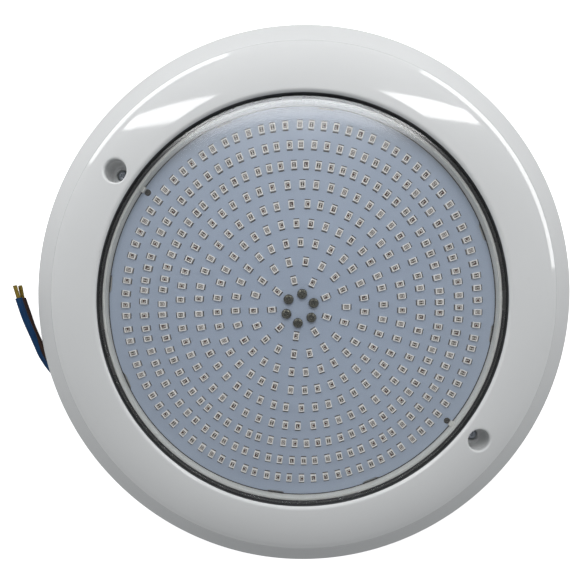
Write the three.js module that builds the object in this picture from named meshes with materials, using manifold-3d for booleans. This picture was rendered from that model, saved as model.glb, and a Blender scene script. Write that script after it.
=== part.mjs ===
// Underwater pool light: a slim round lamp in a snap-on face ring, on a wall plate.
// Millimetres. The light lies on its back: the wall side is at Z = 0 and it shines towards +Z.
import * as THREE from 'three';
import { mergeVertices } from 'three/addons/utils/BufferGeometryUtils.js';
import Module from 'manifold-3d';

const wasm = await Module();
wasm.setup();

// ---- driving dimensions ----
const GAP = 0.3;                    // clearance between pieces that touch

const RING_R = 125;                 // face ring, outermost radius
const RING_BOTTOM = 3.4;            // shadow gap under the ring's edge
const RING_INNER_R = 88.0;          // opening that shows the lamp
const RING_INNER_TOP = 28.2;          // where the ring's face turns down into the opening
const RING_SKIRT_BOTTOM = 18.6;     // lower end of the ring's inner wall
const SNAP_ANGLES = [9, 99, 190, 279];
const SNAP_HALF_DEG = 4.2;          // half width of a snap arm
const SNAP_SLOT_DEG = 9.6;          // outer edge of the slots beside it
const SNAP_SLOT_TOP = 24.6;

const SCREW_R = 96.5;               // ring screws, distance from the centre
const SCREW_ANGLES = { a: 143.3, b: -36.2 };
const BORE_R = 4.8;                 // counterbore
const BORE_FLOOR = 19.6;
const RECESS_R = 2.5;               // recess for the screw head
const RECESS_FLOOR = 17.2;
const SCREW_HOLE_R = 1.7;
const BOSS_R = 6.6;
const BOSS_BOTTOM = 9.0;
const SCREW_SHANK_R = 1.35;
const SCREW_HEAD_R = 2.1;
const SCREW_HEAD_H = 1.8;
const SCREW_END = 4.4;

const PLATE_R = 103.4;              // wall plate
const PLATE_T = 3.0;
const PILLAR_TOP = 8.7;
const PILLAR_R = 6.2;
const PLATE_CABLE_R = 17;           // opening for a lead that comes out of the wall
const PLATE_SLOT_R = 40;
const PAD_R = 52;
const PAD_TOP = 4.2;

const LAMP_BACK = 4.5;
const LAMP_BACK_R = 72;
const LAMP_FLANGE_Z = 17.4;
const LAMP_R = 86.7;                // white rim, outside
const LAMP_BORE_R = 85.4;           // white rim, inside
const LAMP_RIM_TOP = 23.4;
const CAVITY_R = 69.5;
const CAVITY_FLOOR = 7.0;
const LEDGE_Z = 19.1;

const BOARD_R = 84.9;
const BOARD_BOTTOM = 19.4;
const BOARD_TOP = 20.2;
const EDGE_HOLE_R = 82.3;
const EDGE_HOLES = [143.2, -36.3];

const SEAL = { rIn: 85.5, rOut: 86.6, z0: 23.7, z1: 24.5 };
const LENS_R = 87.3;
const LENS_BOTTOM = 24.8;
const LENS_TOP = 27.3;

const HUB_SCREW_R = 6.45;           // six small screws round the middle of the board
const HUB_SCREW_PHASE = 21.6;
const HUB_HEAD_R = 2.2;

const DRIVER = { x: 62, y: 44, z0: 10.0, z1: 11.6 };

const GLAND_D = 66;                 // distance of the gland's axis from the centre
const GLAND_ALPHA = 215;             // direction of the axis' normal, degrees
const GLAND_Z = 10.2;
const GLAND_FACE = 42.6;
const GLAND_HEX = 11.8;              // across flats

const CABLE_D = 6.5;
const CABLE_Z = 3.45;               // centre of the wound lead
const COIL_IN = 104.9;
const COIL_OUT = 118.6;
const CORE_D = 2.4;
const CORE_Z = 1.45;
const COPPER_D = 1.6;

// ---- helpers ----
const rad = (d) => (d * Math.PI) / 180;
const polar = (r, d) => [r * Math.cos(rad(d)), r * Math.sin(rad(d))];

function bare(geometry) {
  const g = geometry.clone();
  for (const name of Object.keys(g.attributes)) if (name !== 'position') g.deleteAttribute(name);
  return mergeVertices(g, 1e-4);
}

function solid(geometry) {
  const g = bare(geometry);
  return new wasm.Manifold(new wasm.Mesh({
    numProp: 3,
    vertProperties: new Float32Array(g.attributes.position.array),
    triVerts: new Uint32Array(g.index.array),
  }));
}

function geometryOf(manifold) {
  const mesh = manifold.getMesh();
  const n = mesh.vertProperties.length / mesh.numProp;
  const position = new Float32Array(n * 3);
  for (let i = 0; i < n; i++) {
    for (let k = 0; k < 3; k++) position[i * 3 + k] = mesh.vertProperties[i * mesh.numProp + k];
  }
  const g = new THREE.BufferGeometry();
  g.setAttribute('position', new THREE.BufferAttribute(position, 3));
  g.setIndex(new THREE.BufferAttribute(new Uint32Array(mesh.triVerts), 1));
  return g;
}

// A body of revolution about Z from a counter-clockwise profile of [radius, z].
// The profile either closes on itself or starts and ends on the axis.
function turned(profile, segments = 72) {
  const points = profile.map(([r, z]) => new THREE.Vector2(r, z));
  const onAxis = profile[0][0] === 0 && profile[profile.length - 1][0] === 0;
  if (!onAxis) points.push(points[0].clone());
  const g = new THREE.LatheGeometry(points, segments);
  g.rotateX(Math.PI / 2);
  return g;
}

function rod(r, z0, z1, x = 0, y = 0, segments = 32) {
  const g = new THREE.CylinderGeometry(r, r, z1 - z0, segments);
  g.rotateX(Math.PI / 2);
  g.translate(x, y, (z0 + z1) / 2);
  return g;
}

function block(x, y, z, cx, cy, cz, turn = 0) {
  const g = new THREE.BoxGeometry(x, y, z);
  g.rotateZ(rad(turn));
  g.translate(cx, cy, cz);
  return g;
}

// A tube along a curve, with a regular section.
function tube(points, r, sides, steps) {
  const curve = new THREE.CatmullRomCurve3(points.map((p) => new THREE.Vector3(...p)), false, 'centripetal');
  const shape = new THREE.Shape();
  for (let i = 0; i < sides; i++) {
    const a = (i / sides) * Math.PI * 2;
    if (i) shape.lineTo(r * Math.cos(a), r * Math.sin(a));
    else shape.moveTo(r, 0);
  }
  shape.closePath();
  return new THREE.ExtrudeGeometry(shape, { steps, bevelEnabled: false, extrudePath: curve });
}

function material(color, roughness, metalness, extra = {}) {
  return new THREE.MeshStandardMaterial({ color, roughness, metalness, ...extra });
}

const root = new THREE.Group();
root.name = 'underwater_pool_light';

function add(name, geometry, mat) {
  const g = geometry.isBufferGeometry ? geometry : geometryOf(geometry);
  g.computeVertexNormals();
  const mesh = new THREE.Mesh(g, mat);
  mesh.name = name;
  root.add(mesh);
  return mesh;
}

// ---- face ring ----
const face = [
  [110.2, 23.95], [109.6, 24.7], [108.9, 25.45], [108.0, 26.1], [106.5, 26.72], [105.0, 27.25], [102.0, 28.1], [99.0, 28.71],
  [96.0, 29.12], [93.0, 29.36], [90.2, 29.45], [89.1, 29.25], [88.35, 28.8], [RING_INNER_R, RING_INNER_TOP],
];
const ringProfile = [
  [122.2, RING_BOTTOM], [124.3, RING_BOTTOM], [RING_R, 4.1], [RING_R, 5.1], [124.7, 5.9],
  ...face,
  [RING_INNER_R, RING_SKIRT_BOTTOM], [90.5, RING_SKIRT_BOTTOM], [90.5, 25.6], [92.0, 26.8],
  [96.0, 26.6], [100.0, 25.9], [104.0, 24.8], [107.2, 23.2], [122.2, 4.9],
];
let ring = solid(turned(ringProfile, 72));
for (const angle of Object.values(SCREW_ANGLES)) {
  const [x, y] = polar(SCREW_R, angle);
  ring = ring.add(solid(rod(BOSS_R, BOSS_BOTTOM, 28.0, x, y, 40)));
}
for (const angle of Object.values(SCREW_ANGLES)) {
  const [x, y] = polar(SCREW_R, angle);
  ring = ring.subtract(solid(rod(BORE_R, BORE_FLOOR, 40, x, y, 36)));
  ring = ring.subtract(solid(rod(RECESS_R, RECESS_FLOOR, 30, x, y, 28)));
  ring = ring.subtract(solid(rod(SCREW_HOLE_R, 0, 30, x, y, 20)));
}
for (const angle of SNAP_ANGLES) {
  for (const side of [-1, 1]) {
    const from = SNAP_HALF_DEG, to = SNAP_SLOT_DEG;
    const mid = angle + (side * (from + to)) / 2;
    const wide = 2 * RING_INNER_R * Math.sin(rad((to - from) / 2));
    const [x, y] = polar(89.2, mid);
    ring = ring.subtract(solid(block(6, wide, SNAP_SLOT_TOP - 10, x, y, (SNAP_SLOT_TOP + 10) / 2, mid)));
  }
}
add('face_ring', ring, material(0xd8dad8, 0.28, 0.0));

// ---- ring screws and the inserts they turn in ----
for (const [key, angle] of Object.entries(SCREW_ANGLES)) {
  const [x, y] = polar(SCREW_R, angle);
  const z0 = RECESS_FLOOR + GAP;
  const profile = [
    [0, SCREW_END], [0.9, SCREW_END], [SCREW_SHANK_R, SCREW_END + 1.2], [SCREW_SHANK_R, z0],
    [SCREW_HEAD_R, z0], [SCREW_HEAD_R, z0 + 0.9], [1.8, z0 + 1.5], [1.1, z0 + SCREW_HEAD_H], [0, z0 + SCREW_HEAD_H],
  ];
  let screw = solid(turned(profile, 24).translate(x, y, 0));
  for (const turn of [20, 110]) screw = screw.subtract(solid(block(2.3, 0.55, 1.4, x, y, z0 + SCREW_HEAD_H - 0.3, turn)));
  add(`ring_screw_${key}`, screw, material(0x9a9c9e, 0.35, 1.0));
  add(`screw_insert_${key}`, turned([[1.8, 3.6], [3.2, 3.6], [3.2, PILLAR_TOP], [1.8, PILLAR_TOP]], 24).translate(x, y, 0),
    material(0xb89a55, 0.4, 1.0));
}

// ---- wall plate ----
let plate = solid(turned([
  [PLATE_CABLE_R, 0], [PLATE_R - 0.8, 0], [PLATE_R, 0.8], [PLATE_R, PLATE_T], [PLATE_R - 1.6, PLATE_T], [PLATE_CABLE_R, PLATE_T],
], 72));
for (const angle of Object.values(SCREW_ANGLES)) {
  const [x, y] = polar(SCREW_R, angle);
  plate = plate.add(solid(rod(PILLAR_R, 1.0, PILLAR_TOP, x, y, 32)));
  plate = plate.subtract(solid(rod(3.5, 3.3, 20, x, y, 24)));
  plate = plate.subtract(solid(rod(1.9, 2.0, 20, x, y, 20)));
}
for (const angle of [53.5, 173.5, 293.5]) {
  const [x, y] = polar(PAD_R, angle);
  plate = plate.add(solid(rod(7, 1.0, PAD_TOP, x, y, 28)));
}
for (const angle of [0, 90, 180, 270]) {
  const [x, y] = polar(PLATE_SLOT_R, angle + 20);
  plate = plate.subtract(solid(block(14, 5.2, 10, x, y, 1.5, angle + 20)));
  for (const end of [-7, 7]) {
    const [ex, ey] = polar(PLATE_SLOT_R + end, angle + 20);
    plate = plate.subtract(solid(rod(2.6, -5, 8, ex, ey, 20)));
  }
}
add('mounting_plate', plate, material(0xe2e3e1, 0.45, 0.0));

// ---- lamp housing: a white cup with a deep back and a wide rim ----
const glandBase = new THREE.Matrix4();   // local +X along the gland's axis, origin at its foot
{
  const n = new THREE.Vector3(Math.cos(rad(GLAND_ALPHA)), Math.sin(rad(GLAND_ALPHA)), 0);
  const t = new THREE.Vector3(Math.cos(rad(GLAND_ALPHA - 90)), Math.sin(rad(GLAND_ALPHA - 90)), 0);
  const up = new THREE.Vector3(0, 0, 1);
  const side = new THREE.Vector3().crossVectors(up, t);
  glandBase.makeBasis(t, side, up);
  glandBase.setPosition(n.clone().multiplyScalar(GLAND_D).setZ(GLAND_Z));
}
const inGland = (geometry) => geometry.clone().applyMatrix4(glandBase);
// a rod along the gland's axis, from s0 to s1
function axial(r, s0, s1, segments, turn = 0, r1 = r) {
  const g = new THREE.CylinderGeometry(r1, r, s1 - s0, segments);
  g.rotateY(rad(turn));
  g.rotateZ(-Math.PI / 2);
  g.translate((s0 + s1) / 2, 0, 0);
  return inGland(g);
}
let housing = solid(turned([
  [0, LAMP_BACK], [LAMP_BACK_R - 1.2, LAMP_BACK], [LAMP_BACK_R, LAMP_BACK + 1.2], [LAMP_BACK_R, LAMP_FLANGE_Z],
  [LAMP_R - 1.0, LAMP_FLANGE_Z], [LAMP_R, LAMP_FLANGE_Z + 1.0], [LAMP_R, LAMP_RIM_TOP - 0.4], [LAMP_R - 0.4, LAMP_RIM_TOP],
  [LAMP_BORE_R, LAMP_RIM_TOP], [LAMP_BORE_R, LEDGE_Z], [CAVITY_R, LEDGE_Z], [CAVITY_R, CAVITY_FLOOR], [0, CAVITY_FLOOR],
], 72));
housing = housing.add(solid(inGland(new THREE.BoxGeometry(GLAND_FACE - 8, 15, 13.1)
  .translate((GLAND_FACE + 8) / 2, 0, 0.85))).trimByPlane([0, 0, -1], -(LAMP_FLANGE_Z + 0.2)));
for (const [x, y] of [[26, 18], [-26, 18], [26, -18], [-26, -18]]) {
  housing = housing.add(solid(rod(2.6, 6.0, DRIVER.z0 - GAP, x, y, 20)));
}
housing = housing.subtract(solid(axial(4.4, -20, 60, 24)));
add('lamp_housing', housing, material(0xdfe0db, 0.4, 0.0));

// ---- LED board ----
let board = solid(rod(BOARD_R, BOARD_BOTTOM, BOARD_TOP, 0, 0, 72));
for (const angle of EDGE_HOLES) {
  const [x, y] = polar(EDGE_HOLE_R, angle);
  board = board.subtract(solid(rod(1.6, 10, 30, x, y, 20)));
}
for (let i = 0; i < 6; i++) {
  const [x, y] = polar(HUB_SCREW_R, HUB_SCREW_PHASE + 60 * i);
  board = board.subtract(solid(rod(1.3, 10, 30, x, y, 16)));
}
add('led_board', board, material(0x95a3b3, 0.4, 0.1));

for (let i = 0; i < 6; i++) {
  const [x, y] = polar(HUB_SCREW_R, HUB_SCREW_PHASE + 60 * i);
  const z = BOARD_TOP + GAP;
  add(`board_screw_${i + 1}`, turned([
    [0, 15.6], [0.95, 15.6], [0.95, z], [HUB_HEAD_R, z], [HUB_HEAD_R, z + 0.5], [1.6, z + 1.1], [0.7, z + 1.35], [0, z + 1.35],
  ], 20).translate(x, y, 0), material(0x5a5a52, 0.4, 1.0));
}

// ---- seal and lens ----
add('lens_seal', turned([
  [SEAL.rIn, SEAL.z0], [SEAL.rOut, SEAL.z0], [SEAL.rOut, SEAL.z1], [SEAL.rIn, SEAL.z1],
], 72), material(0xe9ebe8, 0.6, 0.0));
add('lens', turned([
  [0, LENS_BOTTOM], [LENS_R - 0.5, LENS_BOTTOM], [LENS_R, LENS_BOTTOM + 0.5], [LENS_R, LENS_TOP - 1.5], [LENS_R - 0.5, LENS_TOP - 0.7],
  [LENS_R - 1.6, LENS_TOP - 0.2], [LENS_R - 3.2, LENS_TOP], [0, LENS_TOP],
], 72), material(0xf4f8fb, 0.04, 0.0, { transparent: true, opacity: 0.2 }));

// ---- driver board and what stands on it ----
let driver = solid(block(DRIVER.x, DRIVER.y, DRIVER.z1 - DRIVER.z0, 0, 0, (DRIVER.z0 + DRIVER.z1) / 2));
add('driver_board', driver, material(0x2c6a45, 0.5, 0.0));
const onBoard = DRIVER.z1 + GAP;
let terminal = solid(block(9, 12, 6, -24, -8, onBoard + 3));
for (const y of [-5, -11]) {
  terminal = terminal.subtract(solid(rod(1.4, onBoard + 4.6, 30, -23, y, 16)));
  terminal = terminal.subtract(solid(block(4, 3, 2.6, -28, y, onBoard + 2.2)));
}
add('terminal_block', terminal, material(0x3f7f5f, 0.5, 0.0));
add('rectifier', block(8, 6.5, 2.6, -8, -12, onBoard + 1.3), material(0x232323, 0.5, 0.0));
add('capacitor_a', turned([[0, onBoard], [4, onBoard], [4, onBoard + 6.2], [3.4, onBoard + 6.8], [0, onBoard + 6.8]], 28).translate(8, -10, 0),
  material(0x2b2f52, 0.45, 0.0));
add('capacitor_b', turned([[0, onBoard], [4, onBoard], [4, onBoard + 6.2], [3.4, onBoard + 6.8], [0, onBoard + 6.8]], 28).translate(19, -10, 0),
  material(0x2b2f52, 0.45, 0.0));
add('inductor', turned([[2.2, onBoard], [6, onBoard], [6.4, onBoard + 0.6], [6.4, onBoard + 4.6], [6, onBoard + 5.2], [2.2, onBoard + 5.2]], 28).translate(14, 9, 0),
  material(0x8a5a30, 0.5, 0.3));
add('controller_chip', block(10, 6, 1.7, -8, 8, onBoard + 0.85), material(0x1e1e20, 0.45, 0.0));

// ---- cable gland ----
const hexR = GLAND_HEX / Math.sqrt(3);
let glandBody = solid(axial(4.1, GLAND_FACE - 22, GLAND_FACE + 1, 24));
glandBody = glandBody.add(solid(axial(hexR, GLAND_FACE + GAP, GLAND_FACE + 5.3, 6, 30)));
glandBody = glandBody.add(solid(axial(4.6, GLAND_FACE + 4, GLAND_FACE + 9.5, 24)));
glandBody = glandBody.subtract(solid(axial(3.3, GLAND_FACE - 30, GLAND_FACE + 20, 20)));
glandBody = glandBody.subtract(solid(axial(3.9, GLAND_FACE + 5.5, GLAND_FACE + 20, 20)));
add('gland_body', glandBody, material(0x26282a, 0.5, 0.0));
add('gland_seal', solid(axial(3.6, GLAND_FACE + 5.8, GLAND_FACE + 9.7, 20)).subtract(solid(axial(3.35, 0, 60, 20)).subtract(solid(axial(5, 0, 2, 8)))),
  material(0x3a3c3e, 0.8, 0.0));
let nut = solid(axial(hexR, GLAND_FACE + 5.6, GLAND_FACE + 12.0, 6, 30));
nut = nut.add(solid(axial(5.7, GLAND_FACE + 11, GLAND_FACE + 15.4, 24, 0, 4.5)));
nut = nut.subtract(solid(axial(4.9, GLAND_FACE, GLAND_FACE + 10.6, 24)));
nut = nut.subtract(solid(axial(3.5, GLAND_FACE, GLAND_FACE + 30, 20)));
add('gland_nut', nut, material(0x26282a, 0.5, 0.0));
add('strain_relief', solid(axial(5.2, GLAND_FACE + 15.8, GLAND_FACE + 27.2, 24, 0, 4.1)).subtract(solid(axial(3.5, 0, 90, 20))),
  material(0x1f2022, 0.6, 0.0));

// ---- the lead: out of the lamp, wound once round the back and on into the coil ----
const at = (s, off = 0, z = 0) => new THREE.Vector3(s, off, z).applyMatrix4(glandBase).toArray();
const BEND = 30;                    // the lead's bend where it joins the winding
const COIL_FIRST = 108.2;           // centre of the innermost turn
const bendAlong = Math.sqrt((COIL_FIRST - BEND) ** 2 - (GLAND_D - BEND) ** 2);
const leadIn = [at(GLAND_FACE + 27.5)];
{
  const joinAngle = (Math.atan2(bendAlong, GLAND_D - BEND) * 180) / Math.PI;
  const [cx, cy] = (() => {
    const c = new THREE.Vector3(bendAlong, BEND - 0, 0);
    // the bend's centre lies towards the light's centre from the gland's axis
    const n = new THREE.Vector3(Math.cos(rad(GLAND_ALPHA)), Math.sin(rad(GLAND_ALPHA)), 0);
    const t = new THREE.Vector3(Math.cos(rad(GLAND_ALPHA - 90)), Math.sin(rad(GLAND_ALPHA - 90)), 0);
    const p = n.multiplyScalar(GLAND_D - BEND).addScaledVector(t, bendAlong);
    return [p.x, p.y];
  })();
  for (let k = 1; k <= 6; k++) {
    const turn = (joinAngle * k) / 6;
    const a = GLAND_ALPHA - turn;
    const x = cx + BEND * Math.cos(rad(a)), y = cy + BEND * Math.sin(rad(a));
    const r = Math.hypot(x, y);
    if (r > COIL_IN - GAP - CABLE_D / 2) break;
    leadIn.push([x, y, GLAND_Z + (CABLE_Z - GLAND_Z) * Math.min(1, turn / 46)]);
  }
}
add('cable_lead_in', tube(leadIn, CABLE_D / 2 - 0.05, 10, 18), material(0x141516, 0.6, 0.0));
add('cable_coil', turned([
  [COIL_IN, 0.2], [COIL_OUT, 0.2], [COIL_OUT, 0.2 + CABLE_D], [COIL_IN, 0.2 + CABLE_D],
], 72), material(0x141516, 0.6, 0.0));

// ---- the two cores that come out under the ring, with bare copper ends ----
const BLUE = [
  [-113.6, -41.9], [-118.0, -36.4], [-121.6, -31.4], [-125.2, -25.5], [-128.2, -19.4], [-130.7, -13.2], [-132.9, -7.0], [-134.9, -0.8], [-136.6, 5.3],
];
const BROWN = [
  [-114.9, -36.0], [-117.2, -33.0], [-119.31, -29.88], [-122.79, -24.17], [-125.69, -18.28], [-128.13, -12.23], [-130.3, -6.12], [-132.27, -0.01], [-133.95, 6.04],
];
const flat = (points) => points.map(([x, y]) => [x, y, CORE_Z]);
add('core_blue', tube(flat(BLUE), CORE_D / 2, 8, 16), material(0x0a325a, 0.5, 0.0));
add('core_brown', tube(flat(BROWN), CORE_D / 2, 8, 16), material(0x3c2314, 0.5, 0.0));
add('copper_blue', tube(flat([[-136.7, 5.6], [-137.2, 8.6], [-137.4, 11.5]]), COPPER_D / 2, 8, 3), material(0x8a6a3a, 0.35, 1.0));
add('copper_brown', tube(flat([[-134.03, 6.35], [-134.35, 9.0], [-134.4, 11.5]]), COPPER_D / 2, 8, 3), material(0x8a6a3a, 0.35, 1.0));

// ---- the lead's wires inside the lamp ----
const wire = (off, y1) => [
  at(16, off, 0), at(6, off, 0), at(-3, off, 0.4), [-45.5 + off, -37 - off, onBoard + 2.4], [-41 + off, -28 - off * 0.3, onBoard + 2.4],
  [-38.5 + off, y1 - 8, onBoard + 2.3], [-35, y1 - 1.4, onBoard + 2.2], [-31, y1, onBoard + 2.2],
];
add('inner_wire_blue', tube(wire(1.5, -11), 0.9, 8, 18), material(0x0a325a, 0.5, 0.0));
add('inner_wire_brown', tube(wire(-1.5, -5), 0.9, 8, 18), material(0x3c2314, 0.5, 0.0));

export default root;
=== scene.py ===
"""Underwater pool light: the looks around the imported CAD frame."""

import math

import bmesh
import bpy
import numpy as np
from mathutils import Matrix, Vector


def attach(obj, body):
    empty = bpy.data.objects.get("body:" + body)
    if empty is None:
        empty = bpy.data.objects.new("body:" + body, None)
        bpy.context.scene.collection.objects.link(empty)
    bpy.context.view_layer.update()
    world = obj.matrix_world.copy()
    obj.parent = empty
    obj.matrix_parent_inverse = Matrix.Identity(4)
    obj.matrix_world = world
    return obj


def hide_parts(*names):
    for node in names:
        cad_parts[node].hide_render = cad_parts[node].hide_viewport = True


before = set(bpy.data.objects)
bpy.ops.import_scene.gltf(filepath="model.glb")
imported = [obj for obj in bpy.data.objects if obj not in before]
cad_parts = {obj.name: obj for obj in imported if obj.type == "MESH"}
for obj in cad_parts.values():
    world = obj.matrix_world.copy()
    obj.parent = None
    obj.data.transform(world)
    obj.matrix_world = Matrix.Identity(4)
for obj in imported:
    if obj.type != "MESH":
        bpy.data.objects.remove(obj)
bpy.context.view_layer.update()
MM = 0.001
scene = bpy.context.scene


def srgb(r, g, b):
    """8-bit display values to linear."""
    out = []
    for c in (r, g, b):
        c /= 255.0
        out.append(c / 12.92 if c <= 0.04045 else ((c + 0.055) / 1.055) ** 2.4)
    return (*out, 1.0)


def rad(d):
    return math.radians(d)


def polar(r, d):
    return (r * math.cos(rad(d)), r * math.sin(rad(d)))


# ------------------------------------------------------------------ camera
cam_data = bpy.data.cameras.new("camera")
camera = bpy.data.objects.new("camera", cam_data)
scene.collection.objects.link(camera)
cam_data.sensor_width = 36.0
cam_data.sensor_fit = "HORIZONTAL"
cam_data.lens = 31.975
cam_data.shift_x = 0.01926
cam_data.shift_y = 0.11366
cam_data.clip_start = 0.01
cam_data.clip_end = 20.0
WORLD_TO_CAM = Matrix((
    (0.99953359, -0.00251946, -0.03043459),
    (-0.00104967, 0.99316778, -0.11669043),
    (0.03052065, 0.11666795, 0.99270191),
))
place = WORLD_TO_CAM.transposed().to_4x4()
place.translation = Vector((-0.0014730, 0.0048527, 0.2509))
camera.matrix_world = place
scene.camera = camera


# ------------------------------------------------------------------ mesh helpers
def make(name, verts, faces, body, mats=(), face_mat=None, angle=32.0, scale=MM):
    """A mesh object from points in millimetres, smooth except at edges sharper than angle."""
    mesh = bpy.data.meshes.new(name)
    v = np.asarray(verts, float) * scale
    mesh.from_pydata(v.tolist(), [], [list(f) for f in faces])
    mesh.validate()
    o = bpy.data.objects.new(name, mesh)
    scene.collection.objects.link(o)
    for m in mats:
        mesh.materials.append(m)
    if face_mat is not None:
        mesh.polygons.foreach_set("material_index", np.asarray(face_mat, np.int32))
    mesh.polygons.foreach_set("use_smooth", np.ones(len(mesh.polygons), bool))
    mesh.set_sharp_from_angle(angle=rad(angle))
    mesh.update()
    if body:
        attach(o, body)
    return o


def lathe(profile, seg, closed=True):
    """Vertices and quads of a body of revolution; a point on the axis is shared."""
    pr = np.asarray(profile, float)
    n = len(pr)
    verts, start = [], []
    ang = np.arange(seg) * 2 * math.pi / seg
    for r, z in pr:
        start.append(len(verts))
        if r < 1e-9:
            verts.append((0.0, 0.0, z))
        else:
            verts += [(r * math.cos(a), r * math.sin(a), z) for a in ang]
    faces = []
    for i in range(n if closed else n - 1):
        j = (i + 1) % n
        a_axis, b_axis = pr[i][0] < 1e-9, pr[j][0] < 1e-9
        if a_axis and b_axis:
            continue
        for k in range(seg):
            k2 = (k + 1) % seg
            if a_axis:
                faces.append((start[i], start[j] + k2, start[j] + k))
            elif b_axis:
                faces.append((start[i] + k, start[i] + k2, start[j]))
            else:
                faces.append((start[i] + k, start[i] + k2, start[j] + k2, start[j] + k))
    return verts, faces


def fillet(points, radii, steps=5, closed=True):
    """A polyline with its corners rounded: radii is one number or one for each point."""
    p = np.asarray(points, float)
    n = len(p)
    radii = [radii] * n if isinstance(radii, (int, float)) else radii
    out = []
    for i in range(n):
        if not closed and i in (0, n - 1):
            out.append(tuple(p[i]))
            continue
        a, b, c = p[i - 1], p[i], p[(i + 1) % n]
        u, w = a - b, c - b
        lu, lw = np.linalg.norm(u), np.linalg.norm(w)
        u, w = u / lu, w / lw
        cosang = float(np.clip(u @ w, -1, 1))
        half = math.acos(cosang) / 2
        r = radii[i]
        if r <= 0 or half > rad(89) or half < rad(1):
            out.append(tuple(b))
            continue
        d = min(r / math.tan(half), 0.49 * lu, 0.49 * lw)
        r = d * math.tan(half)
        m = (u + w) / np.linalg.norm(u + w)
        centre = b + m * (r / math.sin(half))
        s, e = b + u * d - centre, b + w * d - centre
        a0 = math.atan2(s[1], s[0])
        da = math.atan2(e[1], e[0]) - a0
        da = (da + math.pi) % (2 * math.pi) - math.pi
        for k in range(steps + 1):
            t = a0 + da * k / steps
            out.append((centre[0] + r * math.cos(t), centre[1] + r * math.sin(t)))
    return out


def held(points, gap=0.25, closed=False):
    """The same polyline with a point close to each end of every long span, so flat faces shade flat."""
    p = [np.asarray(q, float) for q in points]
    out = []
    n = len(p)
    for i in range(n if closed else n - 1):
        a, b = p[i], p[(i + 1) % n]
        d = np.linalg.norm(b - a)
        out.append(tuple(a))
        if d > 4 * gap:
            out.append(tuple(a + (b - a) * gap / d))
            out.append(tuple(b - (b - a) * gap / d))
    if not closed:
        out.append(tuple(p[-1]))
    return out


def smooth_curve(points, per=6):
    """Centripetal Catmull-Rom through the points, per steps in each span."""
    p = [np.asarray(q, float) for q in points]
    p = [2 * p[0] - p[1], *p, 2 * p[-1] - p[-2]]
    out = []
    for i in range(1, len(p) - 2):
        p0, p1, p2, p3 = p[i - 1], p[i], p[i + 1], p[i + 2]
        t0 = 0.0
        t1 = t0 + np.linalg.norm(p1 - p0) ** 0.5
        t2 = t1 + np.linalg.norm(p2 - p1) ** 0.5
        t3 = t2 + np.linalg.norm(p3 - p2) ** 0.5
        for k in range(per):
            t = t1 + (t2 - t1) * k / per
            a1 = (t1 - t) / (t1 - t0) * p0 + (t - t0) / (t1 - t0) * p1
            a2 = (t2 - t) / (t2 - t1) * p1 + (t - t1) / (t2 - t1) * p2
            a3 = (t3 - t) / (t3 - t2) * p2 + (t - t2) / (t3 - t2) * p3
            b1 = (t2 - t) / (t2 - t0) * a1 + (t - t0) / (t2 - t0) * a2
            b2 = (t3 - t) / (t3 - t1) * a2 + (t - t1) / (t3 - t1) * a3
            out.append((t2 - t) / (t2 - t1) * b1 + (t - t1) / (t2 - t1) * b2)
    out.append(p[-2])
    return np.array(out)


def cord_curve(name, points_mm, diameter_mm, mat, sides=6):
    """A round cord as a curve of one open spline."""
    curve = bpy.data.curves.new(name, "CURVE")
    curve.dimensions = "3D"
    curve.bevel_depth = diameter_mm / 2 * MM
    curve.bevel_resolution = sides
    curve.use_fill_caps = True
    sp = curve.splines.new("POLY")
    sp.points.add(len(points_mm) - 1)
    for i, p in enumerate(points_mm):
        sp.points[i].co = (p[0] * MM, p[1] * MM, p[2] * MM, 1.0)
    sp.use_smooth = True
    curve.materials.append(mat)
    o = bpy.data.objects.new(name, curve)
    scene.collection.objects.link(o)
    return o


def frames_along(points):
    """Tangent and two steady normals at each point of a line."""
    p = np.asarray(points, float)
    t = np.gradient(p, axis=0)
    t /= np.linalg.norm(t, axis=1)[:, None]
    ref = np.array([0.0, 0.0, 1.0])
    n = np.cross(ref, t)
    n /= np.linalg.norm(n, axis=1)[:, None]
    return t, n, np.cross(t, n)


def tube_mesh(points, radii, sides):
    """Vertices and faces of a closed tube along points, with flat ends."""
    p = np.asarray(points, float)
    _, n, b = frames_along(p)
    radii = np.broadcast_to(np.asarray(radii, float), (len(p),))
    a = np.arange(sides) * 2 * math.pi / sides
    verts = [
        tuple(p[i] + radii[i] * (math.cos(x) * n[i] + math.sin(x) * b[i]))
        for i in range(len(p))
        for x in a
    ]
    faces = []
    for i in range(len(p) - 1):
        for k in range(sides):
            k2 = (k + 1) % sides
            faces.append((i * sides + k, i * sides + k2, (i + 1) * sides + k2, (i + 1) * sides + k))
    faces.append(tuple(range(sides - 1, -1, -1)))
    faces.append(tuple((len(p) - 1) * sides + k for k in range(sides)))
    return verts, faces


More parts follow.
